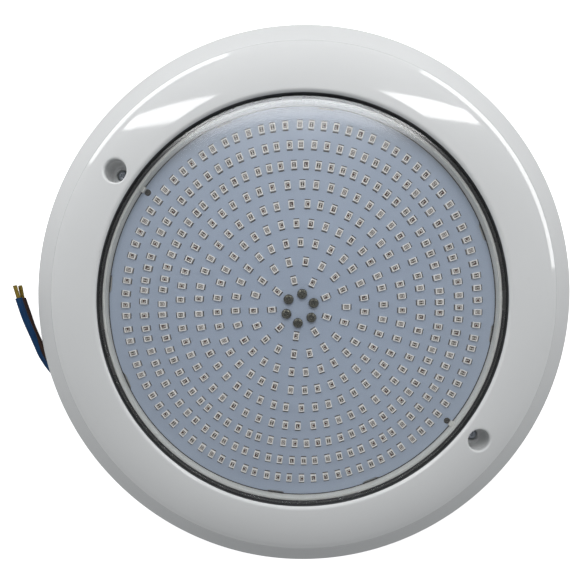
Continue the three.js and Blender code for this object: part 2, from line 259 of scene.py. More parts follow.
# ------------------------------------------------------------------ materials
def procedural(
    name,
    low,
    high,
    scale,
    rough=(0.3, 0.4),
    bump=0.02,
    bump_scale=900.0,
    metallic=0.0,
    coat=0.0,
    ior=1.5,
    speck=None,
    rough_scale=None,
    detail=5.0,
    anis=None,
    edge=None,
):
    """A principled material whose colour, roughness and relief come from noise in the object's own space, in metres."""
    m = bpy.data.materials.new(name)
    m.use_nodes = True
    nt = m.node_tree
    nodes, links = nt.nodes, nt.links
    shader = next(n for n in nodes if n.type == "BSDF_PRINCIPLED")
    shader.inputs["Metallic"].default_value = metallic
    shader.inputs["IOR"].default_value = ior
    shader.inputs["Coat Weight"].default_value = coat
    shader.inputs["Coat Roughness"].default_value = 0.05
    where = nodes.new("ShaderNodeTexCoord")
    cloud = nodes.new("ShaderNodeTexNoise")
    cloud.inputs["Scale"].default_value = scale
    cloud.inputs["Detail"].default_value = detail
    cloud.inputs["Roughness"].default_value = 0.55
    links.new(where.outputs["Object"], cloud.inputs["Vector"])
    ramp = nodes.new("ShaderNodeValToRGB")
    ramp.color_ramp.elements[0].position = 0.3
    ramp.color_ramp.elements[1].position = 0.7
    ramp.color_ramp.elements[0].color = low
    ramp.color_ramp.elements[1].color = high
    links.new(cloud.outputs["Fac"], ramp.inputs["Fac"])
    colour = ramp.outputs["Color"]
    if speck is not None:
        tint, amount, size = speck
        dots = nodes.new("ShaderNodeTexNoise")
        dots.inputs["Scale"].default_value = size
        dots.inputs["Detail"].default_value = 2.0
        links.new(where.outputs["Object"], dots.inputs["Vector"])
        pick = nodes.new("ShaderNodeMapRange")
        pick.inputs["From Min"].default_value = 0.66
        pick.inputs["From Max"].default_value = 0.78
        pick.inputs["To Min"].default_value = 0.0
        pick.inputs["To Max"].default_value = amount
        links.new(dots.outputs["Fac"], pick.inputs["Value"])
        mixc = nodes.new("ShaderNodeMix")
        mixc.data_type = "RGBA"
        links.new(pick.outputs["Result"], mixc.inputs[0])
        links.new(colour, mixc.inputs[6])
        mixc.inputs[7].default_value = tint
        colour = mixc.outputs[2]
    if edge is not None:
        # colour darkened by pointiness: hollows darkest, convex edges keep their colour
        geo = nodes.new("ShaderNodeNewGeometry")
        pointiness_mask = nodes.new("ShaderNodeMapRange")
        pointiness_mask.inputs["From Min"].default_value = 0.45
        pointiness_mask.inputs["From Max"].default_value = 0.55
        pointiness_mask.inputs["To Min"].default_value = 0.0
        pointiness_mask.inputs["To Max"].default_value = 1.0
        links.new(geo.outputs["Pointiness"], pointiness_mask.inputs["Value"])
        mixe = nodes.new("ShaderNodeMix")
        mixe.data_type = "RGBA"
        mixe.blend_type = "MULTIPLY"
        mixe.inputs[0].default_value = edge
        links.new(colour, mixe.inputs[6])
        links.new(pointiness_mask.outputs["Result"], mixe.inputs[7])
        colour = mixe.outputs[2]
    links.new(colour, shader.inputs["Base Color"])
    wear = nodes.new("ShaderNodeTexNoise")
    wear.inputs["Scale"].default_value = rough_scale or scale * 3.1
    wear.inputs["Detail"].default_value = 4.0
    links.new(where.outputs["Object"], wear.inputs["Vector"])
    spread = nodes.new("ShaderNodeMapRange")
    spread.inputs["From Min"].default_value = 0.3
    spread.inputs["From Max"].default_value = 0.7
    spread.inputs["To Min"].default_value = rough[0]
    spread.inputs["To Max"].default_value = rough[1]
    links.new(wear.outputs["Fac"], spread.inputs["Value"])
    links.new(spread.outputs["Result"], shader.inputs["Roughness"])
    if bump > 0:
        grain = nodes.new("ShaderNodeTexNoise")
        grain.inputs["Scale"].default_value = bump_scale
        grain.inputs["Detail"].default_value = 3.0
        if anis is not None:
            stretch = nodes.new("ShaderNodeMapping")
            stretch.inputs["Scale"].default_value = anis
            links.new(where.outputs["Object"], stretch.inputs["Vector"])
            links.new(stretch.outputs["Vector"], grain.inputs["Vector"])
        else:
            links.new(where.outputs["Object"], grain.inputs["Vector"])
        relief = nodes.new("ShaderNodeBump")
        relief.inputs["Strength"].default_value = bump
        relief.inputs["Distance"].default_value = 0.0002
        links.new(grain.outputs["Fac"], relief.inputs["Height"])
        links.new(relief.outputs["Normal"], shader.inputs["Normal"])
    return m


M = {}
M["ring"] = procedural("ring_abs", srgb(196, 197, 197), srgb(201, 202, 202), 9.0, (0.05, 0.09), 0.006, 420.0,
                       speck=(srgb(184, 180, 172), 0.08, 520.0))
ring_nt = M["ring"].node_tree
ring_shader = next(n for n in ring_nt.nodes if n.type == "BSDF_PRINCIPLED")
ring_where = next(n for n in ring_nt.nodes if n.type == "TEX_COORD")
polish = next(n for n in ring_nt.nodes if n.type == "MAP_RANGE" and n.outputs["Result"].is_linked and n.outputs["Result"].links[0].to_socket.name == "Roughness")
height = ring_nt.nodes.new("ShaderNodeSeparateXYZ")
ring_nt.links.new(ring_where.outputs["Object"], height.inputs[0])
for sock, high in (("To Min", 0.52), ("To Max", 0.60)):
    band_rough = ring_nt.nodes.new("ShaderNodeMapRange")
    band_rough.inputs["From Min"].default_value = 0.0244
    band_rough.inputs["From Max"].default_value = 0.0256
    band_rough.inputs["To Min"].default_value = high
    band_rough.inputs["To Max"].default_value = 0.05 if sock == "To Min" else 0.09
    ring_nt.links.new(height.outputs["Z"], band_rough.inputs["Value"])
    ring_nt.links.new(band_rough.outputs["Result"], polish.inputs[sock])
# painted shade: the ring's inner wall and foot are the same white ABS, coloured near black for the shadowed gap round
# the lens
M["ring_inner"] = procedural("ring_inside_painted_shade", srgb(34, 35, 36), srgb(48, 49, 50), 30.0, (0.45, 0.6), 0.05, 800.0)
M["housing"] = procedural("housing_abs", srgb(204, 204, 197), srgb(212, 212, 206), 22.0, (0.32, 0.46), 0.04, 900.0,
                          speck=(srgb(160, 156, 140), 0.12, 700.0))
M["plate"] = procedural("plate_abs", srgb(206, 207, 205), srgb(216, 217, 215), 18.0, (0.38, 0.52), 0.06, 1100.0,
                        speck=(srgb(170, 166, 156), 0.15, 600.0))
M["board"] = procedural("board_mask", srgb(161, 173, 191), srgb(168, 180, 197), 14.0, (0.42, 0.5), 0.015, 1500.0,
                        speck=(srgb(142, 153, 170), 0.3, 900.0))
M["board_edge"] = procedural("board_aluminium_edge", srgb(96, 100, 106), srgb(126, 130, 136), 120.0, (0.3, 0.45), 0.05, 2000.0, metallic=0.9)
M["led_white"] = procedural("led_case", srgb(232, 229, 223), srgb(240, 237, 232), 60.0, (0.35, 0.5), 0.03, 3000.0)
M["led_dark"] = procedural("led_resin", srgb(66, 54, 48), srgb(86, 72, 64), 240.0, (0.12, 0.2), 0.02, 3000.0, coat=0.4)
M["led_frame"] = procedural("led_leadframe", srgb(208, 202, 194), srgb(222, 216, 208), 300.0, (0.3, 0.42), 0.04, 3000.0)
M["die_red"] = procedural("led_die_red", srgb(96, 34, 28), srgb(124, 46, 36), 600.0, (0.15, 0.25), 0.02, 3000.0)
M["die_green"] = procedural("led_die_green", srgb(74, 92, 70), srgb(92, 112, 84), 600.0, (0.15, 0.25), 0.02, 3000.0)
M["die_blue"] = procedural("led_die_blue", srgb(60, 70, 96), srgb(76, 88, 116), 600.0, (0.15, 0.25), 0.02, 3000.0)
# the pads' outer strips: real pads, with their dark colour painted shade
M["solder"] = procedural("pad_edge_painted_shade", srgb(40, 34, 30), srgb(66, 58, 52), 500.0, (0.3, 0.45), 0.15, 2500.0, metallic=0.2)
M["tin"] = procedural("solder_tin", srgb(176, 172, 166), srgb(204, 200, 194), 500.0, (0.3, 0.42), 0.15, 2500.0, metallic=0.3)
M["steel"] = procedural("stainless", srgb(176, 181, 190), srgb(200, 205, 213), 300.0, (0.24, 0.36), 0.08, 2600.0, metallic=0.45)
M["dark_screw"] = procedural("dark_screw", srgb(78, 77, 68), srgb(112, 111, 100), 500.0, (0.22, 0.36), 0.1, 2600.0, metallic=0.9,
                             speck=(srgb(120, 112, 84), 0.5, 1600.0))
M["edge_screw"] = procedural("edge_screw", srgb(44, 42, 36), srgb(64, 61, 52), 500.0, (0.4, 0.52), 0.1, 2600.0, metallic=0.3)
M["brass"] = procedural("insert_brass", srgb(170, 140, 80), srgb(190, 158, 94), 300.0, (0.25, 0.4), 0.1, 2400.0, metallic=1.0)
M["seal"] = procedural("seal_silicone", srgb(202, 203, 198), srgb(212, 213, 208), 120.0, (0.5, 0.62), 0.05, 1500.0)
M["driver"] = procedural("driver_mask", srgb(32, 92, 60), srgb(44, 108, 70), 160.0, (0.35, 0.5), 0.05, 1800.0)
M["terminal"] = procedural("terminal_green", srgb(56, 120, 88), srgb(68, 134, 100), 120.0, (0.35, 0.5), 0.05, 1500.0)
M["black_part"] = procedural("component_black", srgb(26, 26, 28), srgb(40, 40, 42), 300.0, (0.4, 0.55), 0.08, 2500.0)
M["cap"] = procedural("capacitor_sleeve", srgb(34, 38, 74), srgb(46, 50, 90), 200.0, (0.25, 0.38), 0.05, 1600.0)
M["winding"] = procedural("inductor_copper", srgb(128, 78, 38), srgb(158, 100, 54), 200.0, (0.25, 0.4), 0.5, 1400.0, metallic=0.6, anis=(1.0, 1.0, 6.0))
M["nylon"] = procedural("gland_nylon", srgb(30, 31, 33), srgb(44, 45, 47), 200.0, (0.4, 0.55), 0.1, 1800.0)
M["rubber"] = procedural("gland_rubber", srgb(24, 24, 25), srgb(38, 38, 39), 240.0, (0.6, 0.75), 0.15, 1600.0)
M["sheath"] = procedural("cable_sheath", srgb(22, 22, 23), srgb(34, 34, 35), 90.0, (0.5, 0.66), 0.2, 1400.0)
M["blue"] = procedural("core_blue_pvc", srgb(2, 40, 76), srgb(5, 52, 90), 150.0, (0.28, 0.42), 0.1, 1300.0)
M["brown"] = procedural("core_brown_pvc", srgb(34, 19, 13), srgb(46, 27, 19), 150.0, (0.28, 0.42), 0.1, 1300.0)
M["copper"] = procedural("bare_copper", srgb(150, 128, 56), srgb(190, 166, 84), 900.0, (0.25, 0.42), 0.1, 3000.0, metallic=0.9)


for key in ("blue", "brown"):
    core_shader = next(n for n in M[key].node_tree.nodes if n.type == "BSDF_PRINCIPLED")
    core_shader.inputs["Specular IOR Level"].default_value = 0.22


def lens_material():
    m = bpy.data.materials.new("lens_pc")
    m.use_nodes = True
    nt = m.node_tree
    nodes, links = nt.nodes, nt.links
    nodes.clear()
    out = nodes.new("ShaderNodeOutputMaterial")
    mix = nodes.new("ShaderNodeMixShader")
    clear = nodes.new("ShaderNodeBsdfTransparent")
    shine = nodes.new("ShaderNodeBsdfGlossy")
    facing = nodes.new("ShaderNodeLayerWeight")
    facing.inputs["Blend"].default_value = 0.5
    fres = nodes.new("ShaderNodeValToRGB")
    for pos, val in ((0.0, 0.04), (0.3, 0.043), (0.5, 0.07), (0.7, 0.16), (0.85, 0.26), (1.0, 0.36)):
        stop = fres.color_ramp.elements[0] if pos == 0.0 else fres.color_ramp.elements[1] if pos == 1.0 else fres.color_ramp.elements.new(pos)
        stop.position = pos
        stop.color = (val, val, val, 1)
    links.new(facing.outputs["Facing"], fres.inputs["Fac"])
    where = nodes.new("ShaderNodeTexCoord")
    tint = nodes.new("ShaderNodeTexNoise")
    tint.inputs["Scale"].default_value = 12.0
    links.new(where.outputs["Object"], tint.inputs["Vector"])
    ramp = nodes.new("ShaderNodeValToRGB")
    ramp.color_ramp.elements[0].color = (0.988, 0.992, 0.997, 1)
    ramp.color_ramp.elements[1].color = (0.994, 0.996, 0.998, 1)
    links.new(tint.outputs["Fac"], ramp.inputs["Fac"])
    links.new(ramp.outputs["Color"], clear.inputs["Color"])
    haze = nodes.new("ShaderNodeTexNoise")
    haze.inputs["Scale"].default_value = 40.0
    haze.inputs["Detail"].default_value = 6.0
    links.new(where.outputs["Object"], haze.inputs["Vector"])
    spread = nodes.new("ShaderNodeMapRange")
    spread.inputs["From Min"].default_value = 0.3
    spread.inputs["From Max"].default_value = 0.7
    spread.inputs["To Min"].default_value = 0.13
    spread.inputs["To Max"].default_value = 0.19
    links.new(haze.outputs["Fac"], spread.inputs["Value"])
    links.new(spread.outputs["Result"], shine.inputs["Roughness"])
    wave = nodes.new("ShaderNodeTexNoise")
    wave.inputs["Scale"].default_value = 18.0
    links.new(where.outputs["Object"], wave.inputs["Vector"])
    relief = nodes.new("ShaderNodeBump")
    relief.inputs["Strength"].default_value = 0.05
    relief.inputs["Distance"].default_value = 0.0004
    links.new(wave.outputs["Fac"], relief.inputs["Height"])
    links.new(relief.outputs["Normal"], shine.inputs["Normal"])
    links.new(fres.outputs["Color"], mix.inputs["Fac"])
    links.new(clear.outputs["BSDF"], mix.inputs[1])
    links.new(shine.outputs["BSDF"], mix.inputs[2])
    links.new(mix.outputs["Shader"], out.inputs["Surface"])
    return m


M["lens"] = lens_material()

# ------------------------------------------------------------------ the lead
GLAND_ALPHA, GLAND_D, GLAND_Z = 215.0, 66.0, 10.2
BEND, COIL_FIRST, COIL_SECOND, COIL_Z = 29.0, 108.2, 115.2, 3.45
nrm = np.array([math.cos(rad(GLAND_ALPHA)), math.sin(rad(GLAND_ALPHA)), 0.0])
tan = np.array([math.cos(rad(GLAND_ALPHA - 90)), math.sin(rad(GLAND_ALPHA - 90)), 0.0])
along = math.sqrt((COIL_FIRST - BEND) ** 2 - (GLAND_D - BEND) ** 2)
join = math.degrees(math.atan2(along, GLAND_D - BEND))
centre = nrm * (GLAND_D - BEND) + tan * along
lead = [nrm * GLAND_D + tan * 69.9]
for k in range(1, 17):
    a = rad(GLAND_ALPHA - join * k / 16)
    lead.append(centre + BEND * np.array([math.cos(a), math.sin(a), 0.0]))
start_deg = GLAND_ALPHA - join
total = start_deg - 218.7 + 720.0
steps = int(total / 2.0)
for k in range(1, steps + 1):
    p = total * k / steps
    out_of = total - 360.0
    t = min(1.0, max(0.0, (p - out_of) / (360.0 - out_of)))
    r = COIL_FIRST + (COIL_SECOND - COIL_FIRST) * t * t * (3 - 2 * t)
    a = rad(start_deg - p)
    lead.append(np.array([r * math.cos(a), r * math.sin(a), 0.0]))
lead = np.array(lead)
u_end = (lead[-1] - lead[-2]) / np.linalg.norm(lead[-1] - lead[-2])
for d in (4.5, 9.0, 14.0):
    lead = np.vstack([lead, lead[steps + 16] + u_end * d])
travel = np.r_[0.0, np.cumsum(np.linalg.norm(np.diff(lead[:, :2], axis=0), axis=1))]
fall = np.clip(travel / 62.0, 0, 1)
lead[:, 2] = GLAND_Z + (COIL_Z - GLAND_Z) * fall * fall * (3 - 2 * fall)
sheath = cord_curve("lead_sheath", lead, 6.5, M["sheath"], 7)
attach(sheath, "wall_side")
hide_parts("cable_lead_in", "cable_coil")

SHEATH_END = lead[-1]
END_DIR = u_end
END_SIDE = np.array([-END_DIR[1], END_DIR[0], 0.0])  # to the left of travel
CORE_D = 3.1
BLUE = [(-118.6, -34.2, 1.6), (-120.9, -31.4, 1.6), (-123.56, -27.85, 1.6), (-126.4, -22.9, 1.75), (-128.1, -17.9, 2.3), (-129.6, -13.0, 3.0), (-131.3, -8.1, 3.5), (-132.8, -3.25, 3.85), (-134.05, 1.56, 4.05), (-134.95, 4.8, 4.1)]
BROWN = [(-116.4, -33.9, 1.6), (-118.7, -31.0, 1.6), (-121.2, -27.4, 1.6), (-124.28, -22.9, 1.6), (-126.68, -18.0, 1.6), (-128.78, -13.1, 1.6), (-130.58, -8.2, 1.6), (-131.97, -3.3, 1.6), (-133.4, 1.5, 1.6), (-134.3, 4.7, 1.6)]


def core_path(points, side):
    s = SHEATH_END - END_DIR * 3.0 + END_SIDE * side * 1.6
    first = SHEATH_END + END_DIR * 2.0 + END_SIDE * side * 1.65
    out = [s, first]
    tail = [np.array(p, float) for p in points]
    for f in (0.3, 0.6, 0.82):
        q = first * (1 - f) + tail[0] * f
        out.append(q)
    return smooth_curve(out + tail, 6)


blue_line = core_path(BLUE, 1)
brown_line = core_path(BROWN, -1)
core_blue = cord_curve("lead_core_blue", blue_line, CORE_D, M["blue"], 7)
core_brown = cord_curve("lead_core_brown", brown_line, CORE_D, M["brown"], 7)
for piece, node, slot in ((core_blue, "core_blue", "core_blue"), (core_brown, "core_brown", "core_brown")):
    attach(piece, "wall_side")
    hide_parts(node)


def strands(name, start, end, mat, wide):
    """A bundle of fine copper wires, loosely twisted, that open a little at the tip."""
    rng = np.random.default_rng(11 if "blue" in name else 23)
    start, end = np.asarray(start, float), np.asarray(end, float)
    axis = (end - start) / np.linalg.norm(end - start)
    side = np.cross([0, 0, 1.0], axis)
    up = np.cross(axis, side)
    spots = [(0.0, 0.0)]
    spots += [(wide * 0.45, x) for x in np.arange(6) * 60.0]
    spots += [(wide * 0.87, x) for x in np.arange(12) * 30.0 + 12]
    verts, faces = [], []
    for r0, a0 in spots:
        reach = float(rng.uniform(0.93, 1.0))
        pts = []
        for k in range(13):
            f = k / 12 * reach
            r = r0 * (1.0 + 0.12 * f * f * float(rng.uniform(0.7, 1.3)))
            a = rad(a0 + 95 * f + float(rng.uniform(-1.5, 1.5)))
            pts.append(start + (end - start) * f + r * (math.cos(a) * side + math.sin(a) * up))
        v, f_ = tube_mesh(pts, wide * 0.225, 6)
        faces += [tuple(i + len(verts) for i in g) for g in f_]
        verts += v
    o = make(name, verts, faces, "wall_side", [mat], angle=50)
    return o


copper_blue = strands("copper_strands_blue", blue_line[-1] - (blue_line[-1] - blue_line[-3]) * 0.4, (-136.5, 10.95, 4.0), M["copper"], 0.86)
copper_brown = strands("copper_strands_brown", brown_line[-1] - (brown_line[-1] - brown_line[-3]) * 0.4, (-135.15, 11.0, 1.7), M["copper"], 0.86)
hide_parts("copper_blue")
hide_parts("copper_brown")

# the sleeve that closes the sheath where the cores come out
sleeve_v, sleeve_f = [], []
ring_n = 40
stations = [(-9.0, 3.32, 3.32, 0), (-8.6, 3.5, 3.5, 0), (-2.0, 3.5, 3.5, 0), (0.6, 3.4, 3.3, 0), (2.2, 3.0, 2.4, -0.15), (3.6, 2.75, 1.75, -0.3), (5.2, 2.65, 1.5, -0.45), (5.4, 2.3, 1.15, -0.45)]
for s, a_, b_, dz in stations:
    c_ = SHEATH_END + END_DIR * s + np.array([0, 0, dz])
    for k in range(ring_n):
        x = 2 * math.pi * k / ring_n
        sleeve_v.append(tuple(c_ + END_SIDE * a_ * math.cos(x) + np.array([0, 0, 1.0]) * b_ * math.sin(x)))
for i in range(len(stations) - 1):
    for k in range(ring_n):
        k2 = (k + 1) % ring_n
        sleeve_f.append((i * ring_n + k, i * ring_n + k2, (i + 1) * ring_n + k2, (i + 1) * ring_n + k))
sleeve_f.append(tuple(range(ring_n - 1, -1, -1)))
sleeve_f.append(tuple((len(stations) - 1) * ring_n + k for k in range(ring_n)))
sleeve = make("lead_end_sleeve", sleeve_v, sleeve_f, "wall_side", [M["rubber"]], angle=40)

# ------------------------------------------------------------------ face ring
SCREW_R, SCREW_ANGLES = 96.5, (143.3, -36.2)
INNER_R = 88.0
band = [(124.3, 3.4), (125.0, 4.1), (125.0, 5.1), (124.7, 5.9)]
top_pts = [(108.0, 26.1), (106.5, 26.72), (105.0, 27.25), (102.0, 28.1), (99.0, 28.71), (96.0, 29.12), (93.0, 29.36), (90.2, 29.45)]
top_curve = [tuple(p) for p in smooth_curve(top_pts, 8)]
outer = fillet([(122.2, 3.4), (124.45, 3.4), (125.0, 3.95), (125.0, 5.15), (110.0, 24.2), (109.0, 25.55), *[p for p in top_curve[6:]]],
               [0.3, 0.35, 0.35, 1.6, 0.0, 1.1, *([0.0] * (len(top_curve) - 6))], 7, closed=False)
# the last corner, from the face down into the opening
edge_arc = []
for k in range(1, 9):
    a = rad(90 + 90 * k / 8)
    edge_arc.append((INNER_R + 1.35 + 1.35 * math.cos(a), 28.1 + 1.35 * math.sin(a)))
outer = held([p for p in outer if p[0] > INNER_R + 1.5]) + [(INNER_R + 1.35, 29.45)] + edge_arc
inside_down = [(INNER_R, 26.0), (INNER_R, 24.6), (INNER_R, 18.9)]
foot = [(INNER_R + 0.3, 18.6), (90.2, 18.6), (90.5, 18.9)]
inside_up = [(90.5, 24.6), (90.5, 25.6), (92.0, 26.8), (96.0, 26.6), (100.0, 25.9), (104.0, 24.8), (107.2, 23.2), (122.2, 4.9)]
ring_profile = outer + inside_down + foot + inside_up
i_slot0 = len(outer) + 1           # (INNER_R, 24.6)
i_slot1 = len(outer) + len(inside_down) + len(foot)  # (90.5, 24.6)
SEG = 720


def z_face(r):
    """Height of the ring's face at radius r."""
    xs = [p[0] for p in outer if p[0] >= INNER_R + 1.3 and p[1] > 20]
    zs = [p[1] for p in outer if p[0] >= INNER_R + 1.3 and p[1] > 20]
    order = np.argsort(xs)
    return np.interp(r, np.array(xs)[order], np.array(zs)[order])


def build_ring():
    prof = np.array(ring_profile)
    n = len(prof)
    ang = np.arange(SEG) * 2 * math.pi / SEG
    verts = [(r * math.cos(a), r * math.sin(a), z) for r, z in prof for a in ang]
    skip = set()
    # windows in the face for the two screw bores
    face_idx = [i for i in range(len(outer) - 1) if 89.9 <= prof[i][0] <= 103.2 and 89.9 <= prof[i + 1][0] <= 103.2 and prof[i][1] > 20]
    ia, ib = min(face_idx), max(face_idx) + 1
    windows = []
    half = 8.2 / SCREW_R
    for deg in SCREW_ANGLES:
        ka = int(round((rad(deg) - half) / (2 * math.pi) * SEG))
        kb = int(round((rad(deg) + half) / (2 * math.pi) * SEG))
        windows.append((deg, ka, kb))
        for i in [*range(ia, ib), *range(i_slot1 + 1, i_slot1 + 5)]:
            for k in range(ka, kb):
                skip.add((i, k % SEG))
    # slots beside the snap arms
    slots = []
    for c in (9.0, 99.0, 190.0, 279.0):
        for a0, a1 in ((c - 9.5, c - 4.0), (c + 4.0, c + 9.5)):
            slots.append((int(round(a0 * SEG / 360)), int(round(a1 * SEG / 360))))
    for ka, kb in slots:
        for i in range(i_slot0, i_slot1):
            for k in range(ka, kb):
                skip.add((i, k % SEG))
    faces, fm = [], []
    inner_from = len(outer) - 3
    for i in range(n):
        j = (i + 1) % n
        hidden = 1 if (i >= len(outer) + 1) else 0
        for k in range(SEG):
            if (i, k) in skip:
                continue
            k2 = (k + 1) % SEG
            faces.append((i * SEG + k, i * SEG + k2, j * SEG + k2, j * SEG + k))
            # the inner wall and foot take the dark material, which is painted shade
            fm.append(1 if len(outer) - 1 <= i <= i_slot1 else 0)
    for ka, kb in slots:
        for k in range(ka, kb):
            k1, k2 = k % SEG, (k + 1) % SEG
            faces.append((i_slot0 * SEG + k1, i_slot0 * SEG + k2, i_slot1 * SEG + k2, i_slot1 * SEG + k1))
            fm.append(0)
        loop = list(range(i_slot0, i_slot1 + 1))
        faces.append(tuple(i * SEG + ka % SEG for i in loop))
        fm.append(0)
        faces.append(tuple(i * SEG + kb % SEG for i in reversed(loop)))
        fm.append(0)
    # bores: rings of points from the window's border down to the screw hole
    for deg, ka, kb in windows:
        cx, cy = polar(SCREW_R, deg)
        border = [(ia, k) for k in range(ka, kb)] + [(i, kb) for i in range(ia, ib)] + [(ib, k) for k in range(kb, ka, -1)] + [(i, ka) for i in range(ib, ia, -1)]
        idx = [i * SEG + k % SEG for i, k in border]
        pts = np.array([verts[q][:2] for q in idx])
        d = pts - np.array([cx, cy])
        phi = np.arctan2(d[:, 1], d[:, 0])
        rho = np.hypot(d[:, 0], d[:, 1])
        lip = 5.75
        levels = []
        for f in (0.2, 0.4, 0.6, 0.8, 0.92, 1.0):
            rr = rho + (lip - rho) * f
            x, y = cx + rr * np.cos(phi), cy + rr * np.sin(phi)
            levels.append(np.c_[x, y, z_face(np.hypot(x, y))])
        rf = lip - 4.8
        for q in range(1, 8):
            t = q / 7 * math.pi / 2
            rr = lip - rf * math.sin(t)
            x, y = cx + rr * np.cos(phi), cy + rr * np.sin(phi)
            levels.append(np.c_[x, y, z_face(np.hypot(x, y)) - rf * (1 - math.cos(t))])
        down = [(4.8, 25.0), (4.75, 21.2), (4.5, 20.2), (3.9, 19.6), (2.75, 19.6), (2.5, 19.4), (2.5, 17.5), (2.3, 17.2), (1.75, 17.2), (1.7, 17.0), (1.7, 9.1), (1.9, 9.0), (6.4, 9.0), (6.6, 9.2), (6.6, 26.9)]
        for rr, z in down:
            x, y = cx + rr * np.cos(phi), cy + rr * np.sin(phi)
            levels.append(np.c_[x, y, np.full(len(phi), z)])
        prev = idx
        for lv in levels:
            base = len(verts)
            verts.extend(map(tuple, lv))
            cur = list(range(base, base + len(idx)))
            for q in range(len(idx)):
                q2 = (q + 1) % len(idx)
                faces.append((prev[q], prev[q2], cur[q2], cur[q]))
                fm.append(0)
            prev = cur
        # the underside, from its own window's border to the boss
        ua, ub = i_slot1 + 1, i_slot1 + 5
        border = [(ub, k) for k in range(ka, kb)] + [(i, kb) for i in range(ub, ua, -1)] + [(ua, k) for k in range(kb, ka, -1)] + [(i, ka) for i in range(ua, ub)]
        idx = [i * SEG + k % SEG for i, k in border]
        base = len(verts)
        for q in idx:
            x, y, _ = verts[q]
            t = math.atan2(y - cy, x - cx)
            px_, py_ = cx + 6.5 * math.cos(t), cy + 6.5 * math.sin(t)
            verts.append((px_, py_, float(np.interp(math.hypot(px_, py_), [p[0] for p in inside_up[1:]], [p[1] for p in inside_up[1:]]))))
        for q in range(len(idx)):
            q2 = (q + 1) % len(idx)
            faces.append((idx[q2], idx[q], base + q, base + q2))
            fm.append(0)
    return verts, faces, fm


rv, rf_, rm = build_ring()
ring = make("ring_shell", rv, rf_, "front_ring", [M["ring"], M["ring_inner"]], rm, angle=38)
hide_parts("face_ring")

# ------------------------------------------------------------------ lamp housing
hp = fillet([(0, 4.5), (70.8, 4.5), (72, 5.7), (72, 17.4), (85.7, 17.4), (86.75, 18.4), (86.75, 23.4), (85.5, 23.4), (85.5, 19.1), (69.5, 19.1), (69.5, 7.0), (0, 7.0)],
            [0, 0.8, 0.8, 0.6, 0.5, 0.5, 0.45, 0.35, 0.2, 0.3, 0.8, 0], 5, closed=False)
hv, hf = lathe(held(hp), 360, closed=False)


def box_part(lo, hi, origin=None, axes=None, r=0.4):
    """A block with rounded edges, in its own axes."""
    bm = bmesh.new()
    bmesh.ops.create_cube(bm, size=1.0)
    lo, hi = np.array(lo, float), np.array(hi, float)
    for v in bm.verts:
        v.co = Vector((lo + (hi - lo) * (np.array(v.co) + 0.5)).tolist())
    bmesh.ops.bevel(bm, geom=list(bm.edges), offset=r, segments=3, affect="EDGES", profile=0.5)
    pts = np.array([v.co[:] for v in bm.verts])
    faces = [tuple(v.index for v in f.verts) for f in bm.faces]
    bm.free()
    if axes is not None:
        pts = pts @ np.array(axes) + np.array(origin)
    return [tuple(p) for p in pts], faces


def joined(parts):
    verts, faces = [], []
    for v, f in parts:
        faces += [tuple(i + len(verts) for i in g) for g in f]
        verts += list(v)
    return verts, faces


gland_axes = [tan, nrm, [0, 0, 1.0]]
gland_origin = nrm * GLAND_D + np.array([0, 0, GLAND_Z])
blk = box_part((8, -7.5, -5.7), (42.6, 7.5, 7.1), gland_origin, gland_axes, 0.8)
posts = []
for x, y in ((26, 18), (-26, 18), (26, -18), (-26, -18)):
    v, f = lathe(fillet([(0, 6.0), (2.6, 6.0), (2.6, 9.7), (0, 9.7)], [0, 0, 0.3, 0], 3, closed=False), 28, closed=False)
    posts.append(([(a + x, b + y, c) for a, b, c in v], f))
# two locating tabs on the rim
tabs = []
for deg in (142.9, -37.2):
    c, s = math.cos(rad(deg)), math.sin(rad(deg))
    tabs.append(box_part((84.3, -1.3, 20.15), (85.7, 1.3, 22.4), (0, 0, 0), [[c, s, 0], [-s, c, 0], [0, 0, 1]], 0.3))
hv, hf = joined([(hv, hf), blk, *posts, *tabs])
housing = make("housing_cup", hv, hf, "wall_side", [M["housing"]], angle=36)
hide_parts("lamp_housing")

# ------------------------------------------------------------------ LED board
BOARD_R, BOARD_BOTTOM, BOARD_TOP = 85.15, 19.4, 20.2
NOTCHES = [22.5, 172.5, 202.5, 262.5, 292.5, 352.5, 82.5, 112.5]


